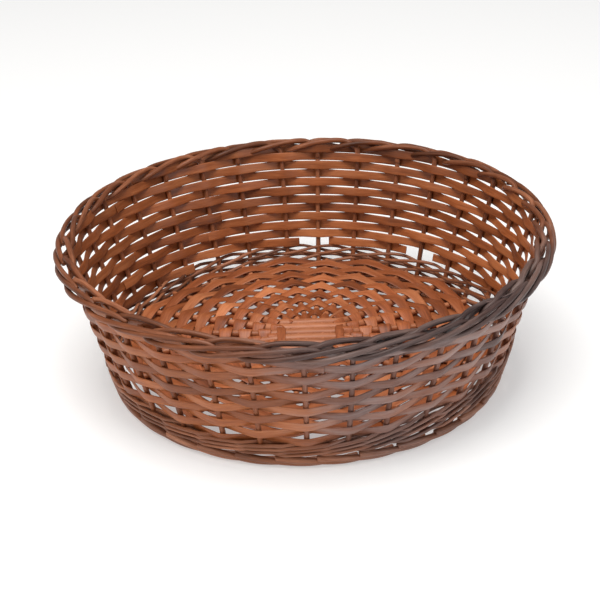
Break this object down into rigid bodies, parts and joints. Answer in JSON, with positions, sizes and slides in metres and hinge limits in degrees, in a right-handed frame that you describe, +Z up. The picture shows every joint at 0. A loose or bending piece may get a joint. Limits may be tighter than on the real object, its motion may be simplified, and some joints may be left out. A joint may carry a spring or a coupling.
{
  "type": "woven fruit basket",
  "caption": "Round shallow fruit basket woven from stained willow: flat splints on upright stakes, rolled rod border, woven base raised on a foot border.",
  "frame": {"origin": "on the table under the middle of the base, where the foot border stands", "axes": "+Z up along the basket's axis, out of its mouth; +X along the slit sticks of the base, -Y towards the front"},
  "size_m": [0.4, 0.4, 0.1273],
  "materials": {
    "side_splint": "satin stained willow splint",
    "base_splint": "satin stained willow splint",
    "base_stick": "satin stained peeled willow",
    "side_stake": "satin stained peeled willow",
    "wale_rod": "satin stained willow rod",
    "border_rod": "satin stained willow rod",
    "foot_rod": "satin stained willow rod"
  },
  "bodies": {
    "root": {"base_stick_across_1": "base_stick", "base_stick_across_2": "base_stick", "base_stick_across_3": "base_stick", "base_stick_across_4": "base_stick", "base_stick_across_5": "base_stick", "base_stick_across_6": "base_stick", "base_stick_along_1": "base_stick", "base_stick_along_2": "base_stick", "base_stick_along_3": "base_stick", "base_stick_along_4": "base_stick", "base_stick_along_5": "base_stick", "base_stick_along_6": "base_stick", "base_binding_splint": "base_splint", "base_splint_01": "base_splint", "base_splint_02": "base_splint", "base_splint_03": "base_splint", "base_splint_04": "base_splint", "base_splint_05": "base_splint", "base_splint_06": "base_splint", "base_splint_07": "base_splint", "base_splint_08": "base_splint", "base_splint_09": "base_splint", "base_splint_10": "base_splint", "base_splint_11": "base_splint", "base_splint_12": "base_splint", "base_splint_13": "base_splint", "base_splint_14": "base_splint", "side_stakes": "side_stake", "lower_wale_1_rod_a": "wale_rod", "lower_wale_1_rod_b": "wale_rod", "lower_wale_1_rod_c": "wale_rod", "lower_wale_2_rod_a": "wale_rod", "lower_wale_2_rod_b": "wale_rod", "lower_wale_2_rod_c": "wale_rod", "lower_wale_3_rod_a": "wale_rod", "lower_wale_3_rod_b": "wale_rod", "lower_wale_3_rod_c": "wale_rod", "side_splint_01": "side_splint", "side_splint_02": "side_splint", "side_splint_03": "side_splint", "side_splint_04": "side_splint", "side_splint_05": "side_splint", "side_splint_06": "side_splint", "side_splint_07": "side_splint", "side_splint_08": "side_splint", "side_splint_09": "side_splint", "side_splint_10": "side_splint", "side_splint_11": "side_splint", "top_border_rods": "border_rod", "foot_border_rods": "foot_rod"}
  },
  "joints": []
}
